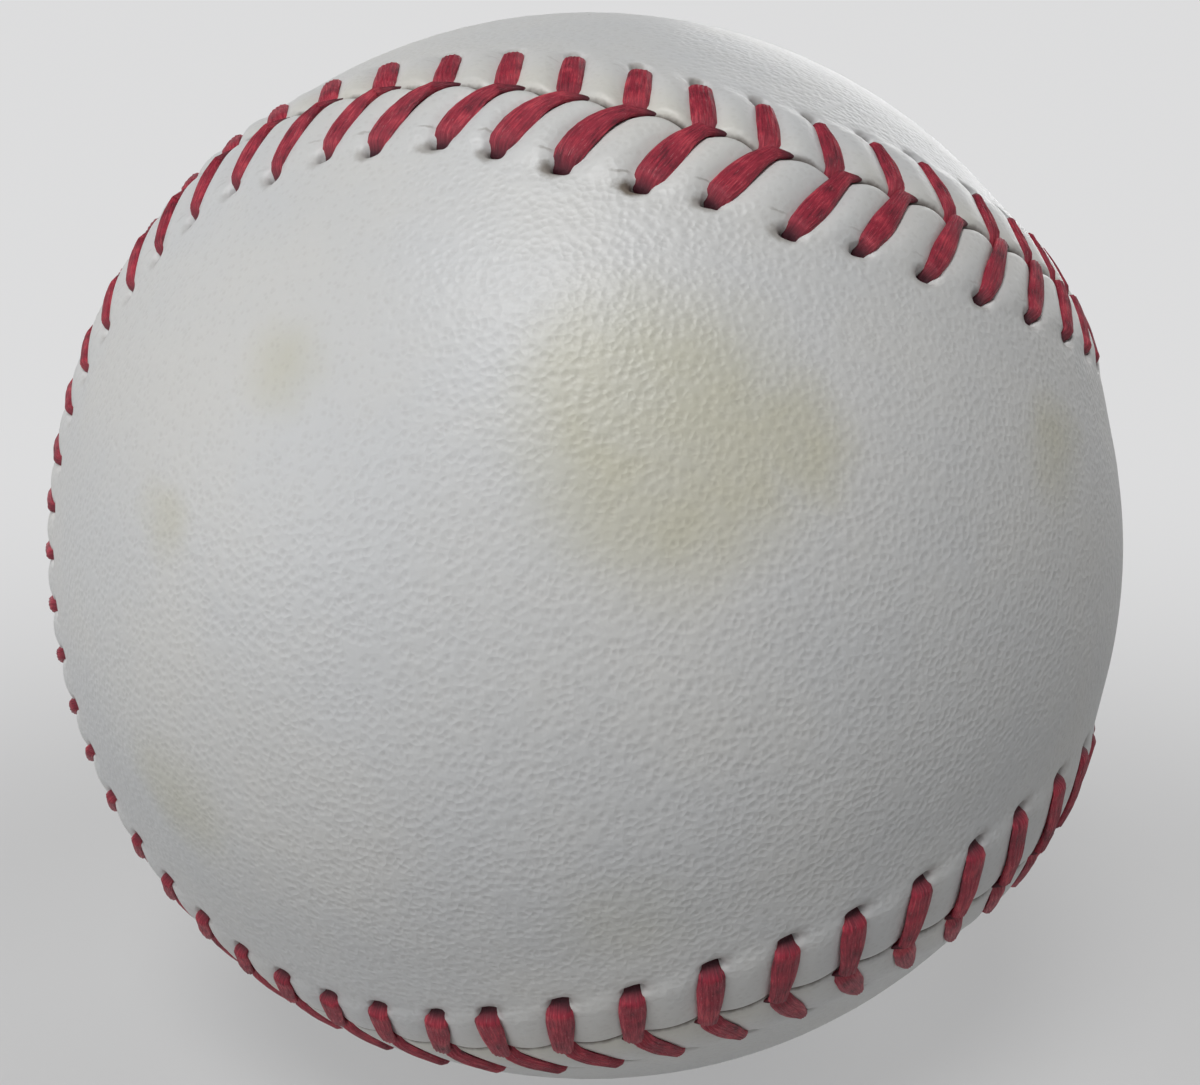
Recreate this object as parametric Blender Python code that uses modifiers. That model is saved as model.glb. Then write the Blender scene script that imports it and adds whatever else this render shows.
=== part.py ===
# A regulation baseball, built in layers from the cork pill out to the sewn cover.
# Two identical figure-eight panels of leather meet along one closed seam, and a single
# red thread laces their edges together with V-shaped stitches.
import math

import bmesh
import bpy
import numpy as np
from mathutils import Euler, Matrix, Vector

# Walls of the layers, from the middle out, in metres
CORK_RADIUS = 0.0102
BLACK_RUBBER_WALL = 0.0039
RED_RUBBER_WALL = 0.0023
FIRST_WINDING_WALL = 0.0143
SECOND_WINDING_WALL = 0.0016
THIRD_WINDING_WALL = 0.00205
FINISHING_WINDING_WALL = 0.0004
LEATHER_WALL = 0.00115

# Clearances between the layers, and the small pieces inside them
LAYER_GAP = 0.0002
COVER_GAP = 0.0003
WASHER_THICKNESS = 0.0009
YARN_CHANNEL_RADIUS = 0.0008
YARN_CHANNEL_OFF_AXIS = 0.004

# The seam's curve on a ball of radius 1: waves that bend a ring into two lobes and a neck
SEAM_THIRD_WAVE = 0.56
SEAM_FIFTH_WAVE = -0.06
SEAM_NECK_HEIGHT = 0.80

# Stitches: their number is a multiple of 4, so that the holes of both panels face each other
STITCHES = 108
HOLE_OFFSET = 0.0041
STITCH_LEAN = 0.0018
LEG_WIDTH = 0.0021
LEG_FOOT_WIDTH = 0.0011
LEG_THICKNESS = 0.00045
THREAD_NECK_WIDTH = 0.0007
THREAD_NECK_THICKNESS = 0.00036
THREAD_CLEARANCE = 0.0001

# The raised welt along each leather edge
WELT_CREST_OFFSET = 0.0016
WELT_REACH = 0.009
WELT_EDGE_DROP = 0.00015

# How the ball sits: turns about X, Y and Z from the seam's own axes
BALL_TURN = (math.radians(-89.0), math.radians(-5.5), math.radians(-100.4))

# Facets
BALL_SUBDIVISIONS = 2
PANEL_MIDDLE_ROWS = 4
SEAM_SAMPLES = 4320
WELD_DISTANCE = 1e-6
SHARP_ANGLE = math.radians(50)

# Radii that follow from the walls
black_inner = CORK_RADIUS + LAYER_GAP
black_outer = black_inner + BLACK_RUBBER_WALL
red_inner = black_outer + LAYER_GAP
red_outer = red_inner + RED_RUBBER_WALL
first_inner = red_outer + LAYER_GAP
first_outer = first_inner + FIRST_WINDING_WALL
second_inner = first_outer + LAYER_GAP
second_outer = second_inner + SECOND_WINDING_WALL
third_inner = second_outer + LAYER_GAP
third_outer = third_inner + THIRD_WINDING_WALL
finishing_inner = third_outer + LAYER_GAP
finishing_outer = finishing_inner + FINISHING_WINDING_WALL
cover_inner = finishing_outer + COVER_GAP
cover_radius = cover_inner + LEATHER_WALL

# Seam and hole sizes that follow from the thread
seam_gap = THREAD_NECK_THICKNESS + 2 * THREAD_CLEARANCE
hole_width = LEG_FOOT_WIDTH + 4 * THREAD_CLEARANCE
hole_length = THREAD_NECK_THICKNESS + 4 * THREAD_CLEARANCE
dive_spread = (THREAD_NECK_WIDTH + THREAD_CLEARANCE) / 2

for old_object in list(bpy.data.objects):
    bpy.data.objects.remove(old_object)

ball = bpy.data.collections.new("baseball")
cutters = bpy.data.collections.new("cutters")
for collection in (ball, cutters):
    bpy.context.scene.collection.children.link(collection)

pose = bpy.data.objects.new("ball_pose", None)
pose.rotation_euler = Euler(BALL_TURN)
ball.objects.link(pose)


def make_material(name, colour, roughness):
    material = bpy.data.materials.new(name)
    material.use_nodes = True
    shader = material.node_tree.nodes["Principled BSDF"]
    shader.inputs["Base Color"].default_value = (*colour, 1)
    shader.inputs["Roughness"].default_value = roughness
    shader.inputs["Metallic"].default_value = 0
    return material


cork = make_material("cork", (0.42, 0.26, 0.13), 0.9)
black_rubber = make_material("black_rubber", (0.02, 0.02, 0.02), 0.7)
red_rubber = make_material("red_rubber", (0.42, 0.05, 0.04), 0.7)
grey_wool = make_material("grey_wool", (0.30, 0.31, 0.33), 0.95)
white_wool = make_material("white_wool", (0.72, 0.70, 0.64), 0.95)
cotton = make_material("cotton", (0.78, 0.76, 0.70), 0.9)
leather = make_material("leather", (0.66, 0.66, 0.63), 0.5)
red_thread = make_material("red_thread", (0.36, 0.02, 0.04), 0.6)


def add_part(name, mesh, material):
    """Names a mesh as one piece of the ball and shades it smooth."""
    mesh.shade_smooth()
    mesh.set_sharp_from_angle(angle=SHARP_ANGLE)
    if not mesh.materials:
        mesh.materials.append(material)
    part = bpy.data.objects.new(name, mesh)
    part.parent = pose
    ball.objects.link(part)
    return part


def finish_mesh(name, work):
    """Turns a working mesh into mesh data."""
    mesh = bpy.data.meshes.new(name)
    work.to_mesh(mesh)
    work.free()
    return mesh


def add_ball(work, radius):
    """Adds a ball and returns its faces. All layers have like facets, so that they nest."""
    made = bmesh.ops.create_icosphere(work, subdivisions=BALL_SUBDIVISIONS, radius=radius)
    return list({face for vert in made["verts"] for face in vert.link_faces})


def hollow_ball(inner, outer):
    """A hollow ball: an outer face and an inner one that points the other way."""
    work = bmesh.new()
    add_ball(work, outer)
    bmesh.ops.reverse_faces(work, faces=add_ball(work, inner))
    return work


def cut_shell(name, inner, outer, cuts, material):
    """The part of a hollow rubber ball that lies on the kept side of each cut."""
    work = hollow_ball(inner, outer)
    for point, normal in cuts:
        everything = work.verts[:] + work.edges[:] + work.faces[:]
        bmesh.ops.bisect_plane(work, geom=everything, plane_co=point, plane_no=normal, clear_inner=True)
        rims = [edge for edge in work.edges if edge.is_boundary]
        bmesh.ops.bridge_loops(work, edges=rims)
    return add_part(name, finish_mesh(name, work), material)


def yarn_channel_cutter():
    """The narrow way by which each yarn's end comes out to the next layer."""
    bottom = first_inner / 2
    top = cover_radius
    work = bmesh.new()
    bmesh.ops.create_cone(
        work,
        cap_ends=True,
        segments=6,
        radius1=YARN_CHANNEL_RADIUS,
        radius2=YARN_CHANNEL_RADIUS,
        depth=top - bottom,
    )
    cutter = bpy.data.objects.new("yarn_channel", finish_mesh("yarn_channel", work))
    cutter.location = (YARN_CHANNEL_OFF_AXIS, YARN_CHANNEL_OFF_AXIS, (top + bottom) / 2)
    cutter.parent = pose
    cutter.hide_render = True
    cutter.display_type = "WIRE"
    cutters.objects.link(cutter)
    return cutter


def wind_layer(name, inner, outer, material, channel):
    """One wound layer of yarn, with the channel of the yarn's end cut through it."""
    work = hollow_ball(inner, outer)
    layer = add_part(name, finish_mesh(name, work), material)
    cut = layer.modifiers.new("yarn_channel", "BOOLEAN")
    cut.operation = "DIFFERENCE"
    cut.object = channel
    return layer


def seam_direction(turn):
    """The seam's place on a ball of radius 1, from one turn round the ball."""
    east = math.sin(turn) + SEAM_THIRD_WAVE * math.sin(3 * turn) + SEAM_FIFTH_WAVE * math.sin(5 * turn)
    north = math.cos(turn) - SEAM_THIRD_WAVE * math.cos(3 * turn) + SEAM_FIFTH_WAVE * math.cos(5 * turn)
    return Vector((east, north, SEAM_NECK_HEIGHT * math.cos(2 * turn))).normalized()


# Length along the seam at even steps of the turn, to space the stitches evenly
seam_turns = np.linspace(0, 2 * math.pi, SEAM_SAMPLES + 1)
seam_points = [cover_radius * seam_direction(turn) for turn in seam_turns]
seam_steps = [(ahead - here).length for here, ahead in zip(seam_points, seam_points[1:])]
seam_lengths = np.concatenate(([0], np.cumsum(seam_steps)))
seam_length = float(seam_lengths[-1])
pitch = seam_length / STITCHES


def seam_turn(station):
    """The turn at a length along the seam."""
    return float(np.interp(station % seam_length, seam_lengths, seam_turns))


def seam_frame(station):
    """Unit directions at a point of the seam: out of the ball, ahead, and to the side."""
    turn = seam_turn(station)
    step = 2 * math.pi / SEAM_SAMPLES
    out = seam_direction(turn)
    ahead = (seam_direction(turn + step) - seam_direction(turn - step)).normalized()
    return out, ahead, out.cross(ahead)


def beside_seam(station, offset):
    """Unit directions at an offset from the seam, measured round the ball."""
    out, ahead, side = seam_frame(station)
    angle = offset / cover_radius
    turned_out = out * math.cos(angle) + side * math.sin(angle)
    turned_side = side * math.cos(angle) - out * math.sin(angle)
    return turned_out, ahead, turned_side


def welt_fall(distance):
    """The welt's share of its height, from 1 at the crest to 0 at its reach."""
    share = (distance - WELT_CREST_OFFSET) / (WELT_REACH - WELT_CREST_OFFSET)
    return (1 + math.cos(math.pi * min(max(share, 0), 1))) / 2


# The leather rides over the thread under it, which sets the height of the welt
thread_room = THREAD_NECK_THICKNESS + 2 * THREAD_CLEARANCE - COVER_GAP
welt_height = thread_room / welt_fall(HOLE_OFFSET)


def leather_top(offset):
    """Radius of the leather's outer face at a distance from the seam."""
    rise = welt_height * welt_fall(abs(offset))
    to_edge = max(0, 1 - abs(offset) / WELT_CREST_OFFSET)
    return cover_radius + rise - WELT_EDGE_DROP * to_edge ** 2


def on_leather(station, distance):
    """A point on the panel's outer face. The panel lies to the right of the seam's way."""
    out, _, _ = beside_seam(station, -distance)
    return out * leather_top(distance)


def spine_angle(direction):
    """Angle along the panel's middle line, from the middle of its neck."""
    return math.atan2(direction.x, direction.z)


# Each lobe is nearly round, so its centre lies its half width back from its tip
lobe_half_width = math.asin(max(point.y for point in seam_points) / cover_radius)
lobe_centre = spine_angle(seam_direction(math.pi / 2)) - lobe_half_width


def spine_direction(station):
    """The place on the panel's middle line that a point of its edge is nearest to."""
    angle = spine_angle(seam_direction(seam_turn(station)))
    angle = max(-lobe_centre, min(lobe_centre, angle))
    return Vector((math.sin(angle), 0, math.cos(angle)))


def inside_panel(station, share):
    """A point between the welt's foot and the panel's middle line."""
    foot = on_leather(station, WELT_REACH).normalized()
    return foot.slerp(spine_direction(station), share) * cover_radius


def wrap_grid(columns, rows, place, skip=None):
    """A flat grid moved point by point to its place, with the points that meet welded."""
    work = bmesh.new()
    bmesh.ops.create_grid(work, x_segments=columns, y_segments=rows, size=1)
    spots = {}
    for vert in work.verts:
        column = round((vert.co.x + 1) / 2 * columns)
        row = round((vert.co.y + 1) / 2 * rows)
        spots[vert] = (column, row)
    if skip:
        corners = {face: min(spots[vert] for vert in face.verts) for face in work.faces}
        holes = [face for face, corner in corners.items() if skip(*corner)]
        bmesh.ops.delete(work, geom=holes, context="FACES_ONLY")
    for vert, spot in spots.items():
        vert.co = place(*spot)
    bmesh.ops.remove_doubles(work, verts=work.verts, dist=WELD_DISTANCE)
    return work


# Rows of the panel's grid, from its middle line to its edge
FAR_ROW = PANEL_MIDDLE_ROWS + 1
NEAR_ROW = FAR_ROW + 1
CREST_ROW = NEAR_ROW + 1
EDGE_ROW = CREST_ROW + 1


def panel_place(column, row):
    """Each stitch has two columns, which run along the left and right of its hole."""
    stitch, right = divmod(column, 2)
    hole = stitch * pitch
    toward = 1 if right else -1
    if row <= PANEL_MIDDLE_ROWS:
        pair_of_stitches = stitch // 2 * 2 * pitch
        return inside_panel(pair_of_stitches, 1 - row / PANEL_MIDDLE_ROWS)
    if row == FAR_ROW:
        return on_leather(hole, HOLE_OFFSET + hole_length)
    if row == NEAR_ROW:
        return on_leather(hole + toward * hole_width / 2, HOLE_OFFSET)
    between_holes = hole + toward * pitch / 2
    return on_leather(between_holes, WELT_CREST_OFFSET if row == CREST_ROW else seam_gap / 2)


def is_hole(column, row):
    return row == FAR_ROW and column % 2 == 0


def add_panel(name, mesh):
    panel = add_part(name, mesh, leather)
    wall = panel.modifiers.new("leather_wall", "SOLIDIFY")
    wall.thickness = LEATHER_WALL
    wall.offset = -1
    wall.use_even_offset = True
    return panel


def thread_ring(station, side, distance, radius, lean, width, thickness):
    """A triangle across the thread: a flat face to the leather and a ridge that leans off it."""
    out, ahead, sideways = beside_seam(station, side * distance)
    middle = out * radius
    ridge = out * math.cos(lean) + sideways * side * math.sin(lean)
    return [
        middle - ahead * side * width / 2,
        middle + ahead * side * width / 2,
        middle + ridge * thickness,
    ]


def stitch_rings(stitch, side):
    """One leg of a V: up through its hole, over the welt, and down between the leather edges."""
    hole = stitch * pitch
    dive = hole + STITCH_LEAN - side * dive_spread
    in_hole = HOLE_OFFSET + THREAD_CLEARANCE
    in_seam = seam_gap / 2 - THREAD_CLEARANCE
    over_crest = hole + (dive - hole) * (in_hole - WELT_CREST_OFFSET) / (in_hole - in_seam)
    slant = math.radians(45)
    neck = (THREAD_NECK_WIDTH, THREAD_NECK_THICKNESS)
    below_hole = leather_top(in_hole) - LEATHER_WALL - THREAD_CLEARANCE
    below_edge = leather_top(seam_gap / 2) - LEATHER_WALL - THREAD_CLEARANCE
    above_hole = leather_top(in_hole) + THREAD_CLEARANCE
    above_crest = leather_top(WELT_CREST_OFFSET) + THREAD_CLEARANCE
    above_edge = leather_top(seam_gap / 2) + THREAD_CLEARANCE
    dive_radius = below_edge - THREAD_NECK_THICKNESS * math.cos(slant)
    return [
        thread_ring(hole, side, in_hole, below_hole, math.pi - slant, *neck),
        thread_ring(hole, side, in_hole, above_hole, slant, LEG_FOOT_WIDTH, THREAD_NECK_THICKNESS),
        thread_ring(over_crest, side, WELT_CREST_OFFSET, above_crest, 0, LEG_WIDTH, LEG_THICKNESS),
        thread_ring(dive, side, in_seam, above_edge, -slant, *neck),
        thread_ring(dive, side, in_seam, dive_radius, -slant, *neck),
    ]


def strand_rings(first_side):
    """One needle's way round the seam: its stitches change sides each time."""
    rings = []
    for stitch in range(STITCHES):
        side = first_side if stitch % 2 == 0 else -first_side
        rings += stitch_rings(stitch, side)
    return rings


def follow_ring(ring, previous):
    """Starts a ring at the corner that continues the ring before it."""
    turned = [ring[start:] + ring[:start] for start in range(len(ring))]
    return min(turned, key=lambda corners: sum((a - b).length_squared for a, b in zip(corners, previous)))


def thread_mesh(name):
    """One thread with a needle at each end, both sewn from its middle round the whole seam."""
    back_to_middle = [ring[::-1] for ring in reversed(strand_rings(1))]
    rings = []
    for ring in back_to_middle + strand_rings(-1):
        rings.append(follow_ring(ring, rings[-1]) if rings else ring)
    sides = len(rings[0])
    work = wrap_grid(sides, len(rings) - 1, lambda column, row: rings[row][column % sides])
    bmesh.ops.holes_fill(work, edges=work.edges, sides=sides)
    return finish_mesh(name, work)


# The cork pill in its rubber
pill = bmesh.new()
add_ball(pill, CORK_RADIUS)
add_part("cork_core", finish_mesh("cork_core", pill), cork)

up = Vector((0, 0, 1))
across = Vector((1, 0, 0))
washer_face = WASHER_THICKNESS / 2
shell_rim = washer_face + LAYER_GAP
red_rim = LAYER_GAP / 2
cut_shell("black_rubber_shell_upper", black_inner, black_outer, [(up * shell_rim, up)], black_rubber)
cut_shell("black_rubber_shell_lower", black_inner, black_outer, [(-up * shell_rim, -up)], black_rubber)
washer_cuts = [(-up * washer_face, up), (up * washer_face, -up)]
cut_shell("red_rubber_washer", black_inner, black_outer, washer_cuts, red_rubber)
cut_shell("red_rubber_shell_left", red_inner, red_outer, [(-across * red_rim, -across)], red_rubber)
cut_shell("red_rubber_shell_right", red_inner, red_outer, [(across * red_rim, across)], red_rubber)

# The four wound layers
channel = yarn_channel_cutter()
wind_layer("first_winding_grey_wool", first_inner, first_outer, grey_wool, channel)
wind_layer("second_winding_white_wool", second_inner, second_outer, white_wool, channel)
wind_layer("third_winding_grey_wool", third_inner, third_outer, grey_wool, channel)
wind_layer("finishing_winding_cotton", finishing_inner, finishing_outer, cotton, channel)

# The cover: two like panels, the second turned half round about a line between their necks
panel_mesh = finish_mesh("cover_panel", wrap_grid(2 * STITCHES, EDGE_ROW, panel_place, is_hole))
add_panel("cover_panel_front", panel_mesh)
back_panel = add_panel("cover_panel_back", panel_mesh)
back_panel.rotation_euler = Matrix.Rotation(math.pi, 3, Vector((1, 1, 0))).to_euler()

add_part("seam_thread", thread_mesh("seam_thread"), red_thread)
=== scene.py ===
import math

import bmesh
import bpy
import numpy as np
from mathutils import Euler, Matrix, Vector
from mathutils import noise as solidNoise


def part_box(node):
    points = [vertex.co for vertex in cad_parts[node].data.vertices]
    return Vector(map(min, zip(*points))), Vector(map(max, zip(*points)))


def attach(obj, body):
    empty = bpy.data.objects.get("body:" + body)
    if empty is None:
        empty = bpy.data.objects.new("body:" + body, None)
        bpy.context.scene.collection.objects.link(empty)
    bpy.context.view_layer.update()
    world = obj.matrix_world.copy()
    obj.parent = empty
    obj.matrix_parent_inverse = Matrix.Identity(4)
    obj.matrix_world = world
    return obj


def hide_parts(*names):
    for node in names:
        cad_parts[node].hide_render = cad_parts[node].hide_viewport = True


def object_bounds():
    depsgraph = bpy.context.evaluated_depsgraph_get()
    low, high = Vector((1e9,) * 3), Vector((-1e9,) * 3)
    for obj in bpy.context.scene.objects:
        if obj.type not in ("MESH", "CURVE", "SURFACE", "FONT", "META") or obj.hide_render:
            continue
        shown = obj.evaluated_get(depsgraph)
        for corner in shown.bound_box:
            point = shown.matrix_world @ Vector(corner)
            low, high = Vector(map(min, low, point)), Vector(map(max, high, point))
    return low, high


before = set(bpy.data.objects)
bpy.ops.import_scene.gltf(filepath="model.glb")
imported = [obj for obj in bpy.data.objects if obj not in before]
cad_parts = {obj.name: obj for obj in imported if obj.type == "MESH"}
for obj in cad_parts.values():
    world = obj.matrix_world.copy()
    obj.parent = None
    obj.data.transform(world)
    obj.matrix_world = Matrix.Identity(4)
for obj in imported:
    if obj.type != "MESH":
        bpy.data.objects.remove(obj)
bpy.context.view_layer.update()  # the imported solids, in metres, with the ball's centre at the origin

print("frame:", len(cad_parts), "nodes")

mm = 0.001

# The seam, one closed curve that bends twice round the ball
seam = {
    "ballRadius": 37.4 * mm,  # leather's outer face, away from the seam
    "thirdWave": 0.56,
    "fifthWave": -0.06,
    "neckHeight": 0.80,
    "stitches": 108,
    "ballTurn": (-89.0, -5.5, -100.4),  # degrees about X, Y and Z
    "samples": 4320,
}


def unit(vectors):
    return vectors / np.linalg.norm(vectors, axis=-1, keepdims=True)


def ease(low, high, value):  # an eased step from 0 to 1
    share = np.clip((value - low) / (high - low), 0, 1)
    return share * share * (3 - 2 * share)


def seamWave(turn):
    east = np.sin(turn) + seam["thirdWave"] * np.sin(3 * turn) + seam["fifthWave"] * np.sin(5 * turn)
    north = np.cos(turn) - seam["thirdWave"] * np.cos(3 * turn) + seam["fifthWave"] * np.cos(5 * turn)
    return unit(np.stack([east, north, seam["neckHeight"] * np.cos(2 * turn)], -1))


seamTurns = np.linspace(0, 2 * np.pi, seam["samples"] + 1)
seamSteps = np.linalg.norm(np.diff(seamWave(seamTurns), axis=0), axis=1) * seam["ballRadius"]
seamLengths = np.concatenate(([0], np.cumsum(seamSteps)))
seamLength = seamLengths[-1]
pitch = seamLength / seam["stitches"]
ballTurn = np.array(Euler([math.radians(angle) for angle in seam["ballTurn"]]).to_matrix())


def seamFrame(station):  # out of the ball, ahead and sideways
    turn = np.interp(station % seamLength, seamLengths, seamTurns)
    step = 2 * np.pi / seam["samples"]
    out = seamWave(turn)
    ahead = unit(seamWave(turn + step) - seamWave(turn - step))
    return out, ahead, np.cross(out, ahead)


def besideSeam(station, offset):  # a direction at an offset round the ball
    out, _, sideways = seamFrame(station)
    angle = (offset / seam["ballRadius"])[..., None]
    return out * np.cos(angle) + sideways * np.sin(angle)


def toRow(places):  # from the seam's own axes to the ball as it sits
    return places @ ballTurn.T


# The stitches: each is a V of two legs, and round the seam the pull goes from one leg to the other.
# Figures are given at some stitches, by number, and go evenly from one to the next
dice = np.random.default_rng(12)
stitch = {
    "curlStart": 0.12,  # nearer the slit than this, as a share, a curl goes straight on
    "hookEnd": 0.96,  # a hook stops short of its full bend
    "hookBend": 0.4,
    "pointReach": 0.5,  # shares of the way over which a leg narrows
    "taperFrom": 0.25,
    "byHand": {"holes": 0.05, "offsets": 0.12, "feet": 0.03, "widths": 0.05},  # no two are alike
    # millimetres that the slit strays to the back
    "wander": (
        (30, 0), (35, 0.3), (36, 0.35), (37, 0.1), (44, 0.05), (45, 0.1), (46, 0.5), (48, 0.5), (50, 0.2),
        (53, 0),
    ),
}
swells = ((3, 0.5), (14, 0.45), (30, 0.8), (42, 1), (50, 0.8), (60, 0.7))
# holes and feet: pitches past the stitch, at the hole and at the slit; offsets: millimetres from the slit
# tails: how far the end runs on along the slit; curls and hooks: shares of the two ways to bend
# widths: half the leg, in millimetres; points and tapers: how far it narrows, at its hole and at the slit
# swells: how full the lobes beside it are; outline: its width along the way from the hole
panels = {
    "front": {
        "side": -1,
        "holes": (
            (3, -0.15), (4, 0.02), (5, 0.14), (6, 0.07), (9, 0.04), (10, 0.08), (11, 0.19), (12, 0.21),
            (13, 0.36), (14, 0.22), (15, 0.3), (17, 0.32), (24, 0.15), (31, 0.05), (33, 0.07), (35, 0.02),
            (36, 0.05), (37, 0.02), (38, 0.07), (39, -0.04), (40, 0.08), (41, -0.05), (42, -0.1),
            (43, -0.01), (44, -0.13), (45, -0.06), (46, -0.12), (48, -0.14), (49, 0.0), (50, 0.1),
            (60, 0.1), (105, 0.05),
        ),
        "offsets": (
            (3, 6.0), (5, 5.6), (6, 5.15), (7, 4.65), (8, 4.45), (9, 4.4), (10, 4.45), (11, 4.1),
            (12, 4.25), (13, 4.05), (14, 3.8), (15, 3.8), (16, 3.45), (17, 3.5), (24, 4.6), (31, 5.5),
            (32, 5.8), (33, 5.8), (34, 5.55), (35, 5.1), (36, 4.8), (37, 5.55), (38, 4.95), (39, 5.1),
            (40, 4.55), (41, 4.8), (42, 5.05), (43, 5.0), (44, 4.65), (45, 5.0), (46, 4.45), (48, 4.4),
            (49, 4.05), (50, 4.0), (60, 4.6), (105, 4.7),
        ),
        "feet": (
            (2, -0.4), (3, -0.4), (4, -0.3), (5, -0.05), (6, 0.11), (8, 0.2), (10, 0.36), (12, 0.56),
            (14, 0.56), (18, 0.42), (24, 0.28), (31, 0.2), (34, 0.15), (35, 0.25), (36, 0.4), (38, 0.54),
            (40, 0.58), (42, 0.58), (44, 0.54), (47, 0.62), (50, 0.66), (60, 0.5), (105, 0.5),
        ),
        "tails": ((3, 0.22), (14, 0.22), (30, 0.45), (40, 0.6), (46, 0.5), (60, 0.3)),
        "curls": (
            (3, 0), (14, 0), (24, 0.3), (36, 1), (42, 0.9), (43, 0.5), (45, 0.05), (50, 0), (80, 0.5),
        ),
        "hooks": ((0, 0), (54, 0)),
        "widths": (
            (3, 0.82), (9, 0.84), (14, 0.74), (20, 0.58), (30, 0.6), (34, 0.74), (38, 0.86), (40, 0.92),
            (42, 0.9), (44, 0.8), (48, 0.74), (60, 0.8),
        ),
        "points": (
            (3, 0.1), (14, 0), (24, 0.3), (35, 0.5), (37, 0.4), (39, 0.1), (44, 0), (46, 0.25), (50, 0.45),
            (60, 0.2),
        ),
        "tapers": (
            (3, 0.3), (14, 0.2), (24, 0.4), (33, 0.7), (35, 0.8), (38, 0.72), (41, 0.54), (44, 0.32),
            (50, 0.35), (60, 0.4),
        ),
        "swells": swells,
        "outline": ((0, 0.68), (0.05, 0.84), (0.12, 0.95), (0.3, 1), (1, 0.95)),
        "lift": 0.12 * mm,
        "cream": 0.15,
        "creaseShade": 0.45,
        "grimeAndShade": (0.42, 0.38, 0.85, 0.6, 1.0),
        "holeShade": (0.15, 0.1, 0.45, 0.36, 0.8),
    },
    "back": {
        "side": 1,
        "holes": (
            (2, -0.7), (3, -0.7), (4, -0.6), (6, -0.35), (8, -0.25), (12, -0.12), (24, 0.0), (37, 0.07),
            (38, 0.11), (39, 0.22), (40, 0.19), (41, 0.16), (42, 0.25), (43, 0.21), (44, 0.24), (45, 0.14),
            (46, 0.22), (47, 0.28), (48, 0.8), (49, 0.95), (51, 0.9), (60, 0.1), (104, 0.08),
        ),
        "offsets": (
            (3, 4.1), (12, 4.1), (36, 4.0), (37, 4.1), (39, 4.0), (40, 4.5), (41, 4.75), (42, 4.65),
            (43, 4.5), (44, 4.5), (45, 4.65), (46, 5.1), (47, 5.4), (48, 5.0), (49, 4.6), (60, 4.4),
        ),
        "feet": (
            (2, -0.36), (3, -0.36), (4, -0.26), (5, -0.01), (6, 0.15), (8, 0.24), (10, 0.39), (12, 0.58),
            (14, 0.58), (18, 0.45), (24, 0.4), (34, 0.35), (36, 0.42), (38, 0.52), (40, 0.55), (45, 0.47),
            (48, 0.62), (60, 0.5), (104, 0.5),
        ),
        "tails": ((0, 0.06), (54, 0.06)),
        "curls": ((0, 0), (54, 0)),
        "hooks": ((3, 0.3), (12, 0.3), (24, 0.1), (40, 0), (43, 0), (45, 0.9), (50, 1), (60, 0.4)),
        "widths": ((3, 0.74), (43, 0.74), (46, 0.64), (48, 0.54), (52, 0.54), (60, 0.7)),
        "points": ((3, 0.5), (12, 0.5), (30, 0.1), (43, 0.0), (45, 0.4), (47, 0.65), (50, 0.7), (60, 0.4)),
        "tapers": ((0, 0), (54, 0)),
        "swells": swells,
        "outline": ((0, 0.78), (0.15, 0.95), (0.5, 1), (1, 0.95)),
        "lift": 0.0,
        "cream": 0.55,
        "creaseShade": 0.15,
        "grimeAndShade": (0.35, 0.4, 0.55, 0.42, 0.6),
        "holeShade": (0.15, 0.1, 0.42, 0.34, 0.5),
    },
}
legTables = ("holes", "offsets", "feet", "tails", "curls", "hooks", "widths", "points", "tapers", "swells")
numbers = np.arange(seam["stitches"])
for panel in panels.values():
    for name in legTables:
        given, values = zip(*panel[name])
        loose = stitch["byHand"].get(name, 0) * ~np.isin(numbers, given)
        smooth = np.interp(numbers, given, values, period=len(numbers))
        panel[name] = smooth + dice.uniform(-1, 1, len(numbers)) * loose


def legFact(panel, name, index):  # a stitch's own figure, or one between two stitches
    return np.interp(index, numbers, panel[name], period=len(numbers))


def legOffset(panel, index):
    return legFact(panel, "offsets", index) * mm


def legShift(panel, index, reach):  # pitches past its number that a leg lies; reach is 1 at the hole
    hole = legFact(panel, "holes", index)
    curl, hook = legFact(panel, "curls", index), legFact(panel, "hooks", index)
    bent = np.maximum(reach, stitch["curlStart"])
    fall = np.sqrt(1 - (1 - bent) ** 2)
    arc = 1 - fall + (bent - reach) * (1 - bent) / fall
    least = (1 - stitch["hookEnd"] ** 2) ** stitch["hookBend"]
    swing = ((1 - (reach * stitch["hookEnd"]) ** 2) ** stitch["hookBend"] - least) / (1 - least)
    way = curl * arc + hook * swing + (1 - curl - hook) * (1 - reach)
    return hole + (legFact(panel, "feet", index) - hole) * way


def legReach(panel, index, distance):
    return np.clip(distance / legOffset(panel, index), 0, 1)


def legStation(panel, index, distance):
    return (index + legShift(panel, index, legReach(panel, index, distance))) * pitch


def legWidth(panel, index, reach):  # half the leg's width
    curl = legFact(panel, "curls", index)
    way = (1 - curl) * (1 - reach) + curl * np.arcsin(np.clip(1 - reach, 0, 1)) * 2 / np.pi
    ends = 1 - legFact(panel, "points", index) * (1 - ease(0, stitch["pointReach"], way))
    ends = ends * (1 - legFact(panel, "tapers", index) * ease(stitch["taperFrom"], 1, way))
    return legFact(panel, "widths", index) * mm * np.interp(way, *zip(*panel["outline"])) * ends


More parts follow.
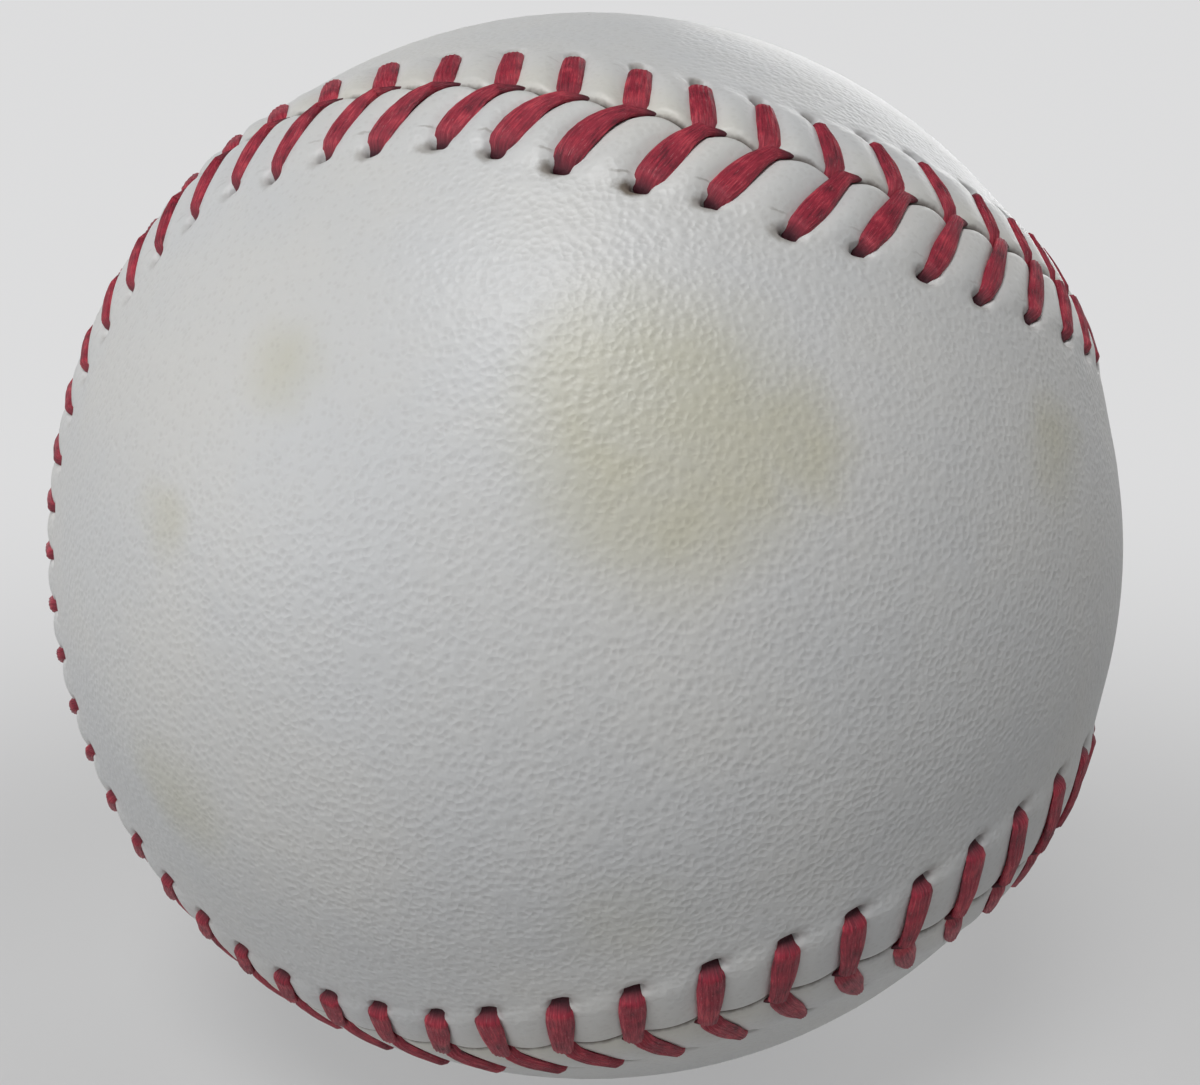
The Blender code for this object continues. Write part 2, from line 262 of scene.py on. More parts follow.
# The leather: a welt along the edge, pinched into lobes by the stitches
leather = {
    "wall": 1.15 * mm,
    "weltHeight": 0.42 * mm,
    "weltCrest": 1.6 * mm,
    "weltReach": 9.0 * mm,
    "lobeRise": 0.20 * mm,
    "grooveDepth": 0.28 * mm,
    "grooveInset": 0.20 * mm,
    "lobeRound": 0.7,  # below 1 the lobes swell close beside the thread
    "pinchFade": (-0.9 * mm, 0.8 * mm),  # either side of the holes
    "holeDepth": 0.95 * mm,
    "holeSize": (0.46 * mm, 0.37 * mm),
    "holePlace": (-0.08 * mm, 0.02 * mm),  # behind and beyond the thread's end
    "dentDepth": 0.10 * mm,
    "dentSize": (0.65 * mm, 0.50 * mm),
    "dentPlace": (-0.48 * mm, 0.32 * mm),
    "rollReach": 0.65 * mm,
    "rollDrop": 0.42 * mm,
    "sway": 0.16 * mm,  # the edges sway with the lobes
    "swayReach": 1.2 * mm,
    "swayAt": 0.1,  # of a leg's way, where the slit looks up its stitch
    "swayTries": 4,
    "wanderReach": 4.2 * mm,
    "gap": (0.01 * mm, 0.07 * mm),  # between the edges, at a lobe and at a stitch
    # columns from a stitch to midway, and rows in millimetres from the slit
    "columns": (0.0, 0.03, 0.06, 0.09, 0.12, 0.155, 0.20, 0.26, 0.33, 0.41, 0.5),
    "rows": (
        10.5, 9.6, 8.8, 8.0, 7.3, 6.7, 6.2, 5.85, 5.6, 5.44, 5.31, 5.19, 5.08, 4.96, 4.84, 4.71, 4.56, 4.38,
        4.15, 3.85, 3.5, 3.15, 2.8, 2.5, 2.2, 1.9, 1.6, 1.35, 1.1, 0.9, 0.72, 0.56, 0.42, 0.30, 0.20, 0.11,
        0.04, 0.0,
    ),
    "usualHole": 4.9 * mm,  # the rows are drawn to each hole from here
    "drawnTo": 1.25,  # times that, where the drawing starts to fade
    "coarse": 0.5,  # of a stitch, between columns away from the seam
    "innerRows": 10,
    "innerLip": 4 * mm,
    "leastClimb": 0.1 * mm,
    "nudge": 0.02,
    "snap": 1e-6,  # of a coarse column
    "weld": 1e-6,
    "sharp": 70.0,
}
weltFoot = max(leather["rows"]) * mm


def weltFall(distance):
    share = (distance - leather["weltCrest"]) / (leather["weltReach"] - leather["weltCrest"])
    return (1 + np.cos(np.pi * np.clip(share, 0, 1))) / 2


def asideLeg(panel, index, distance):  # how far a place is from its leg, and the leg's slant
    reach = legReach(panel, index, distance)
    nudge = leather["nudge"]
    nearer = legShift(panel, index, np.clip(reach - nudge, 0, 1))
    farther = legShift(panel, index, np.clip(reach + nudge, 0, 1))
    slant = (nearer - farther) * pitch / (2 * nudge * legOffset(panel, index))
    upright = 1 / np.sqrt(1 + slant ** 2)
    return (index - np.round(index)) * pitch * upright, upright


def leatherBed(panel, index, distance):  # the leather's outer face, without its holes
    aside, upright = asideLeg(panel, index, distance)
    offset = legOffset(panel, index)
    bottom = legWidth(panel, index, legReach(panel, index, distance)) - leather["grooveInset"]
    climb = (np.abs(aside) - bottom) / np.maximum(pitch / 2 * upright - bottom, leather["leastClimb"])
    lobe = np.sin(np.clip(climb, 0, 1) * np.pi / 2) ** leather["lobeRound"]
    before, after = leather["pinchFade"]
    pinch = 1 - ease(offset + before, offset + after, distance)
    swell = legFact(panel, "swells", index)
    roll = (1 - np.clip(distance / leather["rollReach"], 0, 1)) ** 2 * swell
    lobe = 1 - (1 - lobe) * swell
    rise = leather["weltHeight"] * weltFall(distance)
    rise = rise + pinch * ((leather["lobeRise"] + leather["grooveDepth"]) * lobe - leather["grooveDepth"])
    return seam["ballRadius"] + rise - leather["rollDrop"] * roll


def leatherTop(panel, index, distance):
    aside, _ = asideLeg(panel, index, distance)
    beyond = distance - legOffset(panel, index)

    def hollow(name, power):
        spots = zip((aside, beyond), leather[name + "Place"], leather[name + "Size"])
        away = sum(np.abs((spot - at) / size) ** power for spot, at, size in spots)
        return leather[name + "Depth"] * np.exp(-away)

    return leatherBed(panel, index, distance) - hollow("hole", 3) - hollow("dent", 2)


def edgeGap(index):
    tight, loose = leather["gap"]
    return tight + (loose - tight) * (1 + np.cos(2 * np.pi * index)) / 2


def edgeSway(station, distance):  # the front lobes push the slit toward the back panel
    index = station / pitch
    for _ in range(leather["swayTries"]):
        index = station / pitch - legShift(panels["front"], index, leather["swayAt"])
    sway = leather["sway"] * legFact(panels["front"], "swells", index) ** 2
    wander = np.interp(index % len(numbers), *zip(*stitch["wander"])) * mm
    wander = wander * (1 - ease(0, leather["wanderReach"], distance))
    return wander - np.cos(2 * np.pi * index) * sway * np.exp(-distance / leather["swayReach"])


def spineAngle(side, direction):  # along the panel's middle line, from the middle of its neck
    if side < 0:
        return np.arctan2(direction[..., 0], direction[..., 2])
    return np.arctan2(direction[..., 1], -direction[..., 2])


def spineDirection(side, angle):
    run, rise, still = np.sin(angle), np.cos(angle), np.zeros_like(angle)
    return np.stack([run, still, rise] if side < 0 else [still, run, -rise], -1)


lobeTip = spineAngle(-1, seamWave(np.array(np.pi / 2)))
lobeCentre = lobeTip - math.asin(seamWave(seamTurns)[:, 1].max())


def towardSpine(panel, station, share):  # from the welt's foot to the panel's middle line
    side = panel["side"]
    foot = besideSeam(station, np.full_like(station, side * weltFoot))
    edge = besideSeam(station, np.zeros_like(station))
    spine = spineDirection(side, np.clip(spineAngle(side, edge), -lobeCentre, lobeCentre))
    angle = np.arccos(np.clip((foot * spine).sum(-1), -1, 1))[..., None]
    return unit(foot * np.sin((1 - share) * angle) + spine * np.sin(share * angle))


def panelRows():  # the grid's rows, from the middle out and back inside
    inner = leather["innerRows"]
    rows = [("outer middle", 1 - row / inner) for row in range(inner)]
    rows += [("outer", row * mm) for row in leather["rows"]]
    rows += [("edge", 0.0), ("inner", 0.0), ("inner", leather["innerLip"])]
    return rows + [("inner middle", row / inner) for row in range(inner + 1)]


def placeRow(panel, kind, value, index):
    blunt = np.floor(index / leather["coarse"] + leather["snap"]) * leather["coarse"]
    index = index if kind == "outer" else blunt
    if "middle" in kind:
        wall = leather["wall"] if kind == "inner middle" else 0
        station = legStation(panel, index, np.full_like(index, weltFoot))
        station = station + (index * pitch - station) * value  # even at the middle, so its sides meet
        directions = towardSpine(panel, station, value)
        return directions * (seam["ballRadius"] - wall), np.full_like(index, weltFoot)
    usual = leather["usualHole"]
    drawn = min(value / usual, 1) * (1 - ease(leather["drawnTo"] * usual, weltFoot, value))
    distance = value + (legOffset(panel, index) - usual) * drawn
    distance = distance + edgeGap(index) * np.exp(-distance / mm)
    station = legStation(panel, index, distance)
    top = leatherTop(panel, index, distance)
    under = seam["ballRadius"] + leather["weltHeight"] * weltFall(distance) - leather["wall"]
    radius = {"outer": top, "edge": (top + under) / 2, "inner": under}[kind]
    offset = panel["side"] * distance + edgeSway(station, distance)
    return besideSeam(station, offset) * radius[..., None], distance


def addPiece(name, work, sharp=None):
    mesh = bpy.data.meshes.new(name)
    work.to_mesh(mesh)
    work.free()
    mesh.shade_smooth()
    if sharp:
        mesh.set_sharp_from_angle(angle=math.radians(sharp))
    piece = bpy.data.objects.new(name, mesh)
    bpy.context.scene.collection.objects.link(piece)
    return piece


def gridMesh(columns, rows, places, patterns):
    # a flat grid moved to its place, with a UV map that follows it; points that meet are welded
    work = bmesh.new()
    bmesh.ops.create_grid(work, x_segments=columns, y_segments=rows, size=1)
    pattern = work.loops.layers.uv.new("seamPlace")
    spots = {}
    for vert in work.verts:
        spots[vert] = (round((vert.co.y + 1) / 2 * rows), round((vert.co.x + 1) / 2 * columns))
        vert.co = places[spots[vert]]
    for face in work.faces:
        for loop in face.loops:
            loop[pattern].uv = patterns[spots[loop.vert]]
    bmesh.ops.remove_doubles(work, verts=work.verts, dist=leather["weld"])
    bmesh.ops.recalc_face_normals(work, faces=work.faces)
    return work


def addPanel(name, panel):
    half = np.array(leather["columns"])
    shares = np.concatenate([half[:-1], 1 - half[:0:-1]])
    index = np.append((numbers[:, None] + shares).ravel(), len(numbers))
    columns = len(index) - 1
    rows = panelRows()
    places = np.zeros((len(rows), columns + 1, 3))
    patterns = np.zeros((len(rows), columns + 1, 2))
    for row, (kind, value) in enumerate(rows):
        spots, distance = placeRow(panel, kind, value, index)
        places[row] = toRow(spots)
        reach = legReach(panel, index, distance)
        beyond = np.maximum(distance - legOffset(panel, index), 0)
        inland = reach * leather["usualHole"] + beyond
        patterns[row] = np.stack([index, inland / mm], -1)  # stitches and millimetres
    return addPiece(name, gridMesh(columns, len(rows) - 1, places, patterns), leather["sharp"])


frontPanel = addPanel("leather_front", panels["front"])
backPanel = addPanel("leather_back", panels["back"])
print("leather:", len(frontPanel.data.polygons), "faces a panel")


# The thread: a flat waxed bundle, up through a hole, over the welt and down between the edges
thread = {
    "ways": (0.0, 0.03, 0.07, 0.13, 0.21, 0.30, 0.40, 0.50, 0.60, 0.70, 0.80, 0.90, 1.0),
    "tailWays": (0.2, 0.45, 0.72, 1.0),
    "thickness": 0.50 * mm,
    "bedding": 0.05 * mm,  # how deep it lies in the leather
    "holeSink": 0.80 * mm,
    "holeWay": 0.10,
    "tailWidth": 0.06,
    "tailDrift": {"front": 0.30 * mm, "back": 0.0},  # past the slit, onto the other panel's edge
    "tailSink": {"front": 0.20 * mm, "back": 0.75 * mm},
    "tailReach": {"front": 0.5 * mm, "back": 0.9 * mm},
    "footSink": {"front": 0.0, "back": 0.45 * mm},
    "passWidth": 0.35 * mm,
    "passThickness": 0.25 * mm,
    "corners": 15,  # over the top; three more go underneath
    "strands": 2.5,  # ridges on each half
    "ridge": 0.15,
    "ridgeStart": 0.2,
    "twist": 0.8,  # ridges that one leg turns
    "crown": (0.75, 3.2, 0.6),  # how far, how late and how softly the top falls to its edges
    "under": ((0.75, 0), (0, -0.1), (-0.75, 0)),  # across and up
    "liftWay": (0.3, 0.7),
    "tailThin": 0.75,
    "passDrop": 0.3 * mm,
    "passEnd": 0.999,
    "nudge": 0.02,
    "sharp": 80.0,
}


def threadSection(way):  # across and up, from edge to edge and back underneath
    across = np.linspace(-1, 1, thread["corners"])
    fall, late, soft = thread["crown"]
    crown = (1 - fall * np.abs(across) ** late) ** soft
    ridges = (1 - np.cos(2 * np.pi * (thread["strands"] * across + thread["twist"] * way))) / 2
    height = crown * (1 - thread["ridge"] * ease(0.0, thread["ridgeStart"], way) * ridges)
    below, drop = zip(*thread["under"])
    return np.concatenate([across, below]), np.concatenate([height, drop])


def legPath(key, way):  # station, distance and reach of every leg; past 1 is the tail
    panel = panels[key]
    curl = panel["curls"]
    over = min(way, 1)
    reach = (1 - curl) * (1 - over) + curl * (1 - np.sin(over * np.pi / 2))
    station = (numbers + legShift(panel, numbers, reach) + panel["tails"] * max(way - 1, 0)) * pitch
    return station, panel["offsets"] * mm * reach, reach


def legFrame(key, way):  # out, ahead and sideways on every leg
    side = panels[key]["side"]
    places = []
    for near in (way, way + thread["nudge"], way - thread["nudge"]):
        station, distance, _ = legPath(key, max(near, 0))
        drift = thread["tailDrift"][key] * math.sin(max(near - 1, 0) * math.pi / 2)
        offset = side * (distance - drift) + edgeSway(station, distance)
        places.append(besideSeam(station, offset))
    ahead = unit(places[1] - places[2])
    return places[0], ahead, unit(np.cross(ahead, places[0]))


def legRing(key, way):  # a ring of corners on every leg of one panel
    panel = panels[key]
    out, _, beside = legFrame(key, way)
    _, distance, reach = legPath(key, way)
    tail = max(way - 1, 0)
    near = np.clip(1 - distance / thread["tailReach"][key], 0, 1)
    sink = thread["holeSink"] * (1 - ease(0, thread["holeWay"], way)) + thread["footSink"][key] * near
    sink = sink + thread["tailSink"][key] * tail
    bed = leatherBed(panel, numbers, np.maximum(distance, leather["rollReach"]))
    radius = bed - thread["bedding"] - sink + panel["lift"] * ease(*thread["liftWay"], way)
    wide = legWidth(panel, numbers, reach) * (1 - (1 - thread["tailWidth"]) * math.sqrt(tail))
    across, height = threadSection(way)
    ring = (out * radius[:, None])[:, None] + beside[:, None] * (wide[:, None] * across)[..., None]
    thick = thread["thickness"] * (1 - thread["tailThin"] * tail)
    return ring + out[:, None] * (thick * height)[None, :, None]


def passRing(key, way, turn):  # a small slanted ring below, where the thread turns
    out, ahead, beside = legFrame(key, way)
    _, distance, _ = legPath(key, way)
    radius = seam["ballRadius"] + leather["weltHeight"] * weltFall(distance) - leather["wall"]
    radius = radius - thread["passDrop"]
    across, height = threadSection(way)
    ring = (out * radius[:, None])[:, None]
    ring = ring + beside[:, None] * (thread["passWidth"] * across)[None, :, None]
    rise = unit(out + turn * ahead)
    return ring + rise[:, None] * (thread["passThickness"] * (height - 1 / 2))[None, :, None]


def capped(rings):  # a ring drawn to a point at either end
    caps = [np.broadcast_to(ring.mean(0), ring.shape) for ring in (rings[0], rings[-1])]
    return np.concatenate([caps[:1], rings, caps[1:]])


def followRings(rings, marks):  # starts each ring at the corner that goes on from the ring before
    count = rings.shape[1]
    for here in range(1, len(rings)):
        turned = [np.roll(rings[here], -start, axis=0) for start in range(count)]
        best = int(np.argmin([((ring - rings[here - 1]) ** 2).sum() for ring in turned]))
        rings[here] = turned[best]
        marks[here] = np.roll(marks[here], -best)
    return rings, marks


def addThread(name):
    ways = thread["ways"] + tuple(1 + tail for tail in thread["tailWays"])
    legs = {}
    for key in panels:
        rings = [legRing(key, way) for way in ways]
        legs[key] = np.stack([passRing(key, ways[0], -1)] + rings + [passRing(key, ways[-1], 1)], 1)
    order = [("front", "back")[(number + start) % 2] for start in range(2) for number in numbers]
    rings = np.concatenate([legs[key][spot % len(numbers)] for spot, key in enumerate(order)])
    marks = np.tile(threadSection(0)[0], (len(rings), 1))
    rings, marks = followRings(rings, marks)
    rings = capped(rings)
    marks = np.concatenate([marks[:1], marks, marks[-1:]])
    steps = np.concatenate([[0], np.array(ways) / 2, [thread["passEnd"]]])
    length = np.concatenate([[0], (np.arange(len(order))[:, None] + steps).ravel(), [len(order)]])
    places = toRow(np.concatenate([rings, rings[:, :1]], 1))
    marks = np.concatenate([marks, marks[:, :1]], 1)
    patterns = np.stack(np.broadcast_arrays(length[:, None], marks), -1)
    work = gridMesh(places.shape[1] - 1, len(places) - 1, places, patterns)
    return addPiece(name, work, thread["sharp"])


seamThread = addThread("thread_red")
print("thread:", len(seamThread.data.polygons), "faces")


# Inside: a cork pill in two rubber shells, then four layers of yarn
pill = {
    "corkRadius": 10.2 * mm,
    "corkGrain": 0.12 * mm,
    "corkScale": 900.0,
    "blackWall": (10.4 * mm, 14.3 * mm),
    "blackRim": 0.65 * mm,  # from the middle plane
    "redWall": (14.5 * mm, 16.8 * mm),
    "redRim": 0.10 * mm,
    "washerHalf": 0.45 * mm,
    "washerSteps": 5,
    "edge": 0.15 * mm,
    "edgeAngle": 40.0,
    "edgeSteps": 2,
    "weld": 1e-4 * mm,
    "corkFacets": 6,  # times that they are split
    "steps": 72,
    "arcSteps": 18,
    "sharp": 50.0,
}


def addCork(name):
    work = bmesh.new()
    bmesh.ops.create_icosphere(work, subdivisions=pill["corkFacets"], radius=pill["corkRadius"])
    for vert in work.verts:  # pressed granules, a little sunk between
        grain = solidNoise.noise(vert.co * pill["corkScale"])
        vert.co -= vert.co.normalized() * pill["corkGrain"] * max(grain, 0)
    return addPiece(name, work, pill["sharp"])


def spunMesh(profile, closed, steps, weld):  # a profile spun once about Z
    work = bmesh.new()
    points = [work.verts.new((reach, 0, rise)) for reach, rise in profile]
    for first, second in zip(points, points[1:] + points[:1] if closed else points[1:]):
        work.edges.new((first, second))
    bmesh.ops.spin(
        work, geom=work.verts[:] + work.edges[:], cent=(0, 0, 0), axis=(0, 0, 1), angle=2 * math.pi,
        steps=steps, use_merge=True,
    )
    bmesh.ops.remove_doubles(work, verts=work.verts, dist=weld)
    bmesh.ops.recalc_face_normals(work, faces=work.faces)
    return work


def spunPiece(name, profile, closed, towards):  # turned to its axis, its rims eased
    work = spunMesh(profile, closed, pill["steps"], pill["weld"])
    sharpest = math.radians(pill["edgeAngle"])
    rims = [edge for edge in work.edges if edge.is_manifold and edge.calc_face_angle() > sharpest]
    bmesh.ops.bevel(
        work, geom=rims, offset=pill["edge"], segments=pill["edgeSteps"], profile=0.5, affect="EDGES",
        material=-1, offset_type="OFFSET",
    )
    turn = Vector((0, 0, 1)).rotation_difference(towards).to_matrix().to_4x4()
    bmesh.ops.transform(work, matrix=turn, verts=work.verts)
    return addPiece(name, work, pill["sharp"])


def addHalfShell(name, node, colour, axis):  # the dome that lies where its solid does
    inner, outer = pill[colour + "Wall"]
    rim = pill[colour + "Rim"]
    towards = Vector(toRow(np.array(axis)))
    low, high = (Vector(corner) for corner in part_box(node))
    towards = towards if (low + high).dot(towards) > 0 else -towards
    steps = np.linspace(0, 1, pill["arcSteps"] + 1)
    domes = []
    for radius in (outer, inner):
        angle = steps * math.acos(rim / radius)
        domes.append(np.stack([np.sin(angle), np.cos(angle)], -1) * radius)
    profile = np.concatenate([domes[0], domes[1][::-1]])
    return spunPiece(name, profile, False, towards)


def addWasher(name):
    inner, outer = pill["blackWall"]
    rise = np.linspace(-1, 1, pill["washerSteps"]) * pill["washerHalf"]
    walls = [np.stack([np.sqrt(radius ** 2 - rise ** 2), rise], -1) for radius in (outer, inner)]
    profile = np.concatenate([walls[0], walls[1][::-1]])
    return spunPiece(name, profile, True, Vector(toRow(np.array((0, 0, 1.0)))))


windings = {
    "yarn_grey_first": {
        "node": "first_winding_grey_wool", "slot": "grey_wool", "inner": 17.0 * mm, "outer": 31.3 * mm,
        "yarn": (1.35 * mm, 0.95 * mm), "turns": 66, "sweeps": 7.4, "seed": 1,
    },
    "yarn_white_second": {
        "node": "second_winding_white_wool", "slot": "white_wool", "inner": 31.5 * mm, "outer": 33.1 * mm,
        "yarn": (1.10 * mm, 0.60 * mm), "turns": 74, "sweeps": 8.3, "seed": 2,
    },
    "yarn_grey_third": {
        "node": "third_winding_grey_wool", "slot": "grey_wool", "inner": 33.3 * mm, "outer": 35.35 * mm,
        "yarn": (1.05 * mm, 0.70 * mm), "turns": 78, "sweeps": 8.7, "seed": 3,
    },
    "yarn_cotton_finish": {
        "node": "finishing_winding_cotton", "slot": "cotton", "inner": 35.55 * mm, "outer": 35.95 * mm,
        "yarn": (0.70 * mm, 0.16 * mm), "turns": 112, "sweeps": 10.6, "seed": 4,
    },
}
winding = {"segments": 40, "corners": 6, "rise": 0.7, "facets": 5, "sharp": 70.0}


def yarnPath(wound):  # one unbroken yarn: turns round the ball whose axis wanders
    count = wound["turns"] * winding["segments"]
    share = np.linspace(0, 1, count + 1)
    tilt = np.arccos(1 - share)
    swing = 2 * np.pi * wound["sweeps"] * share + wound["seed"]
    axis = np.stack([np.sin(tilt) * np.cos(swing), np.sin(tilt) * np.sin(swing), np.cos(tilt)], -1)
    start = np.zeros_like(axis)
    start[0] = (1, 0, 0)
    for step in range(1, count + 1):
        start[step] = start[step - 1] - axis[step] * (axis[step] @ start[step - 1])
        start[step] /= np.linalg.norm(start[step])
    turn = (2 * np.pi * wound["turns"] * share)[:, None]
    return start * np.cos(turn) + np.cross(axis, start) * np.sin(turn), share


def addWinding(name, wound):
    out, share = yarnPath(wound)
    wide, thick = wound["yarn"]
    ahead = unit(np.gradient(out, axis=0))
    beside = np.cross(ahead, out)
    radius = wound["outer"] - thick / 2 - (1 - share) * thick * winding["rise"]
    angle = np.linspace(0, 2 * np.pi, winding["corners"] + 1)
    rings = (out * radius[:, None])[:, None] + beside[:, None] * (wide / 2 * np.cos(angle))[None, :, None]
    rings = rings + out[:, None] * (thick / 2 * np.sin(angle))[None, :, None]
    places = toRow(capped(rings))
    length = np.linspace(0, wound["turns"] * 2 * np.pi * wound["outer"] / mm, len(places))
    patterns = np.stack(np.broadcast_arrays(length[:, None], (angle / (2 * np.pi))[None]), -1)
    work = gridMesh(winding["corners"], len(places) - 1, places, patterns)
    bed = wound["outer"] - thick * (0.5 + winding["rise"])
    bmesh.ops.create_icosphere(work, subdivisions=winding["facets"], radius=bed)
    hollow = bmesh.ops.create_icosphere(work, subdivisions=winding["facets"], radius=wound["inner"])
    faces = {face for vert in hollow["verts"] for face in vert.link_faces}
    bmesh.ops.reverse_faces(work, faces=list(faces))
    return addPiece(name, work, winding["sharp"])


corkPill = addCork("cork_pill")
shells = {
    "rubber_black_upper": ("black_rubber_shell_upper", "black", (0, 0, 1.0)),
    "rubber_black_lower": ("black_rubber_shell_lower", "black", (0, 0, 1.0)),
    "rubber_red_left": ("red_rubber_shell_left", "red", (1.0, 0, 0)),
    "rubber_red_right": ("red_rubber_shell_right", "red", (1.0, 0, 0)),
}
domes = {name: addHalfShell(name, *facts) for name, facts in shells.items()}
washer = addWasher("rubber_red_washer")
yarns = {name: addWinding(name, wound) for name, wound in windings.items()}
print("inside:", sum(len(yarn.data.polygons) for yarn in yarns.values()), "faces of yarn")


# Materials
def plug(socket, value):  # a link from another node, or a plain value
    if isinstance(value, bpy.types.NodeSocket):
        socket.id_data.links.new(value, socket)
    else:
        socket.default_value = value


def addNode(tree, kind, inputs=None, **settings):
    made = tree.nodes.new("ShaderNode" + kind)
    for name, value in settings.items():
        setattr(made, name, value)
    for name, value in (inputs or {}).items():
        plug(made.inputs[name], value)
    return made


def newMaterial(name):
    material = bpy.data.materials.new(name)
    material.use_nodes = True
    tree = material.node_tree
    return material, tree, tree.nodes["Principled BSDF"], addNode(tree, "TexCoord").outputs["Object"]


def seamPlace(tree):  # the two figures of the seamPlace map
    place = addNode(tree, "UVMap", uv_map="seamPlace").outputs["UV"]
    return addNode(tree, "SeparateXYZ", {"Vector": place}).outputs[:2]


def finish(shader, colour, rough, height, depth, **under):
    bump = addNode(shader.id_data, "Bump", {"Height": height, "Distance": depth, **under})
    plug(shader.inputs["Base Color"], colour)
    plug(shader.inputs["Roughness"], rough)
    plug(shader.inputs["Normal"], bump.outputs["Normal"])


def calc(operation, first, second=0.0, third=0.0, clamp=False):
    linked = first if isinstance(first, bpy.types.NodeSocket) else second
    made = addNode(linked.id_data, "Math", operation=operation, use_clamp=clamp)
    for socket, value in zip(made.inputs, (first, second, third)):
        plug(socket, value)
    return made.outputs[0]


def ramp(value, low, high, start=0.0, end=1.0):  # an eased step of a value
    ends = {"Value": value, "From Min": low, "From Max": high, "To Min": start, "To Max": end}
    return addNode(value.id_data, "MapRange", ends, interpolation_type="SMOOTHSTEP").outputs["Result"]


def mixed(share, first, second, blend="MIX"):
    made = addNode(share.id_data, "Mix", data_type="RGBA", blend_type=blend)
    for socket, value in zip((made.inputs[0], made.inputs[6], made.inputs[7]), (share, first, second)):
        plug(socket, value)
    return made.outputs[2]


def noise(spot, scale, detail=2.0, rough=0.5):
    facts = {"Vector": spot, "Scale": scale, "Detail": detail, "Roughness": rough}
    return addNode(spot.id_data, "TexNoise", facts).outputs["Fac"]


def eased(spot, look, name):  # a noise and its edge, by their names in a look
    return ramp(noise(spot, *look[name]), *look[name + "Edge"])


def shifted(spot, scale, amount):  # a place pushed about by noise, so that edges aren't round
    tree = spot.id_data
    made = addNode(tree, "TexNoise", {"Vector": spot, "Scale": scale, "Detail": 3.0})
    middle = {0: made.outputs["Color"], 1: (0.5, 0.5, 0.5)}
    centred = addNode(tree, "VectorMath", middle, operation="SUBTRACT")
    scaled = addNode(tree, "VectorMath", {0: centred.outputs[0], "Scale": amount}, operation="SCALE")
    return addNode(tree, "VectorMath", {0: spot, 1: scaled.outputs[0]}, operation="ADD").outputs[0]


# Where the leather went tan: middle in millimetres, inner and outer reach, strength
stains = {
    "middle": ((3.6, -35.3, 11.8), 3.5, 9.8, 0.95),
    "middle low": ((3.4, -36.4, 8.0), 0.5, 6.5, 0.70),
    "middle right": ((9.4, -34.3, 11.4), 1.0, 5.0, 1.0),
    "upper left": ((-15.4, -30.7, 14.9), 0.2, 3.8, 0.65),
    "far left": ((-22.0, -29.6, 6.1), 0.2, 2.6, 0.55),
    "lower left": ((-23.5, -27.7, -9.0), 0.5, 5.5, 0.6),
    "right": ((25.6, -25.0, 10.2), 0.3, 4.6, 0.8),
    "bottom": ((1.5, -35.0, -13.2), 0.5, 5.0, 0.3),
}
# The leather's look; a noise has scale, detail and roughness, an edge goes from and to, with the values there
hide = {
    "cool": (0.650, 0.660, 0.668, 1),
    "warm": (0.685, 0.683, 0.667, 1),
    "tone": (55.0, 4.0, 0.6),
    "toneEdge": (0.3, 0.7),
    "stain": (0.885, 0.860, 0.71, 1),
    "drift": (130.0, 5 * mm),
    "mottle": (420.0, 3.0, 0.6),
    "mottleEdge": (0.25, 0.75, 0.82, 1.05),
    # dark colour for grime and pores, and painted shade for creases and open holes
    "dirtAndShade": (0.17, 0.14, 0.11, 1),
    "poreScale": 2500.0,  # pits about two fifths of a millimetre apart, drawn out a little
    "poreShift": (1300.0, 0.22 * mm),
    "poreTurn": (0.0, math.radians(-25), 0.0),
    "poreStretch": (1.12, 1.0, 1.0),
    "poreSmooth": 0.25,
    "poreEdge": (0.0, 0.85),
    "poreDepth": 0.034 * mm,
    "poreDarkEdge": (0.0, 0.5, 0.08, 0.0),
    "fine": (7000.0, 3.0, 0.6),
    "fineShare": 0.12,
    "lumps": (1100.0, 2.0),
    "lumpShare": 0.6,
    "rumple": (160.0, 3.0),
    "rumpleDepth": 0.10 * mm,
    "stretchEdge": (3.0, 6.5, 0.45, 1.0),
    "speck": (0.06, 0.05, 0.045, 1),
    "speckScale": 190.0,
    "speckChance": 0.72,
    "speckEdge": (0.010, 0.024, 0.8, 0.0),
    "ragged": (1500.0, 3.0, 0.6),
    # cream: partly the leather's own tint, partly a painted highlight on the edges by the slit
    "cream": (0.70, 0.67, 0.57, 1),
    "creamReach": (0.3, 4.0),
    "shade": (0.035, 0.024, 0.022, 1),
    "patchRagged": 0.9,
    "patchEdge": (0.45, 1.15),
    "chanceEdge": (0.0, 1.0, 0.5, 1.0),
    "grimeAndShadeByStitch": ((36.5, 40.5, 0.25, 1.0), (43.0, 47.0, 1.0, 0.45)),  # by stitch: the top has the most grime and painted shade
    # the slit: painted shade, with some dirt, in the gap between the edges
    "slit": (0.085, 0.060, 0.045, 1),
    "slitShadeRagged": 0.35,
    "slitShadeEdge": (0.0, 0.32, 0.8, 0.0),
    "creaseRagged": 0.5,
    "creaseLean": 0.25,
    "creaseAt": (-1.5, -0.7),  # millimetres past the hole
    "creaseEnds": ((-1.75, -1.3), (-1.0, -0.7, 1.0, 0.0)),
    "creaseEdge": (0.02, 0.13),
    "roughEdge": (0.3, 0.7, 0.40, 0.52),
    "grimeRough": 0.3,
}


